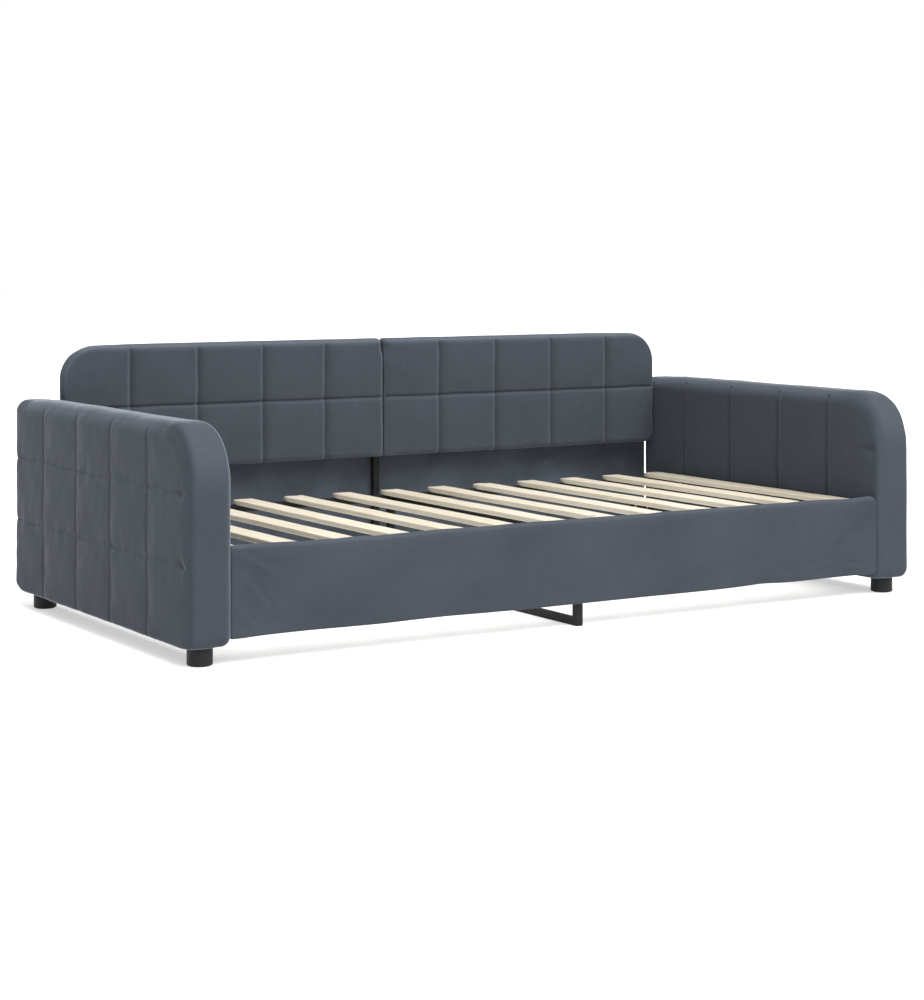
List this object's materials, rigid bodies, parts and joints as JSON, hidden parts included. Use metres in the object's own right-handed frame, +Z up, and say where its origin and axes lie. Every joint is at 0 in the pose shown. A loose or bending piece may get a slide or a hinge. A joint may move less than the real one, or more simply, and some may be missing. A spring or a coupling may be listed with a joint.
{
  "type": "daybed",
  "caption": "Velvet daybed with padded quilted arms, a quilted back in two panels, upholstered rails, wooden slats on a steel frame with a centre leg, and round black feet.",
  "frame": {"origin": "centre of the footprint, on the floor under the feet", "axes": "+X along the bed's length, -Y towards the open front, +Z up"},
  "size_m": [2.258, 1.14, 0.715],
  "materials": {
    "velvet": "matte short-pile velvet",
    "board": "raw board and timber",
    "slat_wood": "planed pale softwood",
    "black_steel": "satin black powder coat",
    "black_plastic": "matte moulded plastic",
    "zinc": "zinc-plated"
  },
  "bodies": {
    "root": {"arm_left_cover": "velvet", "arm_left_base_board": "board", "arm_left_inner_board": "board", "arm_left_outer_board": "board", "arm_left_front_post": "board", "arm_left_back_post": "board", "arm_left_top_rail": "board", "foot_front_left": "black_plastic", "foot_back_left": "black_plastic", "back_panel_left_cover": "velvet", "back_panel_left_board": "board", "arm_right_cover": "velvet", "arm_right_base_board": "board", "arm_right_inner_board": "board", "arm_right_outer_board": "board", "arm_right_front_post": "board", "arm_right_back_post": "board", "arm_right_top_rail": "board", "foot_front_right": "black_plastic", "foot_back_right": "black_plastic", "back_panel_right_cover": "velvet", "back_panel_right_board": "board", "front_rail_cover": "velvet", "front_rail_board": "board", "back_rail_cover": "velvet", "back_rail_board": "board", "side_tube_front": "black_steel", "side_tube_back": "black_steel", "end_tube_left": "black_steel", "end_tube_right": "black_steel", "centre_beam": "black_steel", "leg_front_post": "black_steel", "leg_rear_post": "black_steel", "leg_floor_bar": "black_steel", "back_post": "black_steel", "panel_angle_left": "black_steel", "panel_angle_right": "black_steel", "front_rail_angle_left": "black_steel", "front_rail_angle_right": "black_steel", "back_rail_angle_left": "black_steel", "back_rail_angle_right": "black_steel", "leg_front_plug": "black_plastic", "leg_rear_plug": "black_plastic", "frame_bolt_front_left": "zinc", "frame_bolt_front_right": "zinc", "frame_bolt_back_left": "zinc", "frame_bolt_back_right": "zinc", "slat_01": "slat_wood", "slat_02": "slat_wood", "slat_03": "slat_wood", "slat_04": "slat_wood", "slat_05": "slat_wood", "slat_06": "slat_wood", "slat_07": "slat_wood", "slat_08": "slat_wood", "slat_09": "slat_wood", "slat_10": "slat_wood", "slat_11": "slat_wood", "slat_12": "slat_wood", "slat_13": "slat_wood"}
  },
  "joints": []
}
